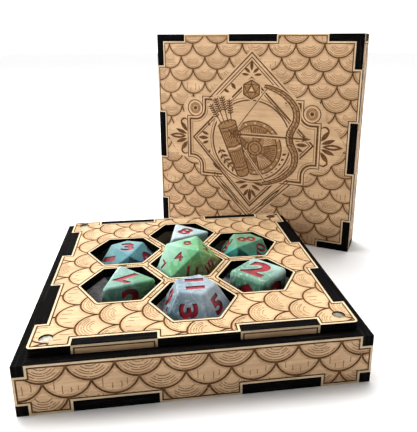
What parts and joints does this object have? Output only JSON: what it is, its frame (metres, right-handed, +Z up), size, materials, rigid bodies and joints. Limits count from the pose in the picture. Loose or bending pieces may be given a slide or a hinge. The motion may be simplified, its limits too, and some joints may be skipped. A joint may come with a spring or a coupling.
{
  "type": "dice box",
  "caption": "Square plywood dice box: shallow tray with hexagonal cells holding polyhedral dice, and a lift-off lid standing on edge behind it.",
  "frame": {"origin": "on the table at the centre of the tray's underside", "axes": "+Z up, -Y towards the tray's front, +X to the right; the lid stands behind and to the right"},
  "size_m": [0.1402, 0.1552, 0.102],
  "materials": {
    "plywood": "bare, laser engraved",
    "felt": "felt",
    "magnet": "nickel plated",
    "dice_green": "marbled",
    "dice_pale": "pearly marbled",
    "dice_mint": "pearly marbled",
    "dice_white": "pearly marbled",
    "dice_teal": "marbled",
    "dice_blue": "pearly marbled"
  },
  "bodies": {
    "tray": {"tray_bottom": "plywood", "tray_wall_front": "plywood", "tray_wall_right": "plywood", "tray_wall_back": "plywood", "tray_wall_left": "plywood", "lip_wall_front": "plywood", "lip_wall_right": "plywood", "lip_wall_back": "plywood", "lip_wall_left": "plywood", "cell_plate": "plywood", "felt_floor": "felt", "plate_magnet_front_left": "magnet", "plate_magnet_front_right": "magnet", "plate_magnet_back_right": "magnet", "plate_magnet_back_left": "magnet"},
    "lid": {"lid_panel": "plywood", "lid_wall_upper": "plywood", "lid_wall_right": "plywood", "lid_wall_lower": "plywood", "lid_wall_left": "plywood", "lid_felt": "felt", "lid_block_upper_left": "plywood", "lid_block_upper_right": "plywood", "lid_block_lower_right": "plywood", "lid_block_lower_left": "plywood", "lid_magnet_upper_left": "magnet", "lid_magnet_upper_right": "magnet", "lid_magnet_lower_right": "magnet", "lid_magnet_lower_left": "magnet"},
    "d20_body": {"die_d20": "dice_green"},
    "d12_body": {"die_d12": "dice_pale"},
    "d6_body": {"die_d6": "dice_mint"},
    "d8_front_body": {"die_d8_front": "dice_mint"},
    "d8_back_body": {"die_d8_back": "dice_white"},
    "d10_tens_body": {"die_d10_tens": "dice_teal"},
    "d10_units_body": {"die_d10_units": "dice_blue"}
  },
  "joints": [
    {"name": "lid_lift", "type": "slide", "parent": "tray", "child": "lid", "axis": [0, 0, 1], "range_m": [0, 0.12]},
    {"name": "d20_lift", "type": "slide", "parent": "tray", "child": "d20_body", "axis": [0, 0, 1], "range_m": [0, 0.04]},
    {"name": "d12_lift", "type": "slide", "parent": "tray", "child": "d12_body", "axis": [0, 0, 1], "range_m": [0, 0.04]},
    {"name": "d6_lift", "type": "slide", "parent": "tray", "child": "d6_body", "axis": [0, 0, 1], "range_m": [0, 0.04]},
    {"name": "d8_front_lift", "type": "slide", "parent": "tray", "child": "d8_front_body", "axis": [0, 0, 1], "range_m": [0, 0.04]},
    {"name": "d8_back_lift", "type": "slide", "parent": "tray", "child": "d8_back_body", "axis": [0, 0, 1], "range_m": [0, 0.04]},
    {"name": "d10_tens_lift", "type": "slide", "parent": "tray", "child": "d10_tens_body", "axis": [0, 0, 1], "range_m": [0, 0.04]},
    {"name": "d10_units_lift", "type": "slide", "parent": "tray", "child": "d10_units_body", "axis": [0, 0, 1], "range_m": [0, 0.04]}
  ]
}
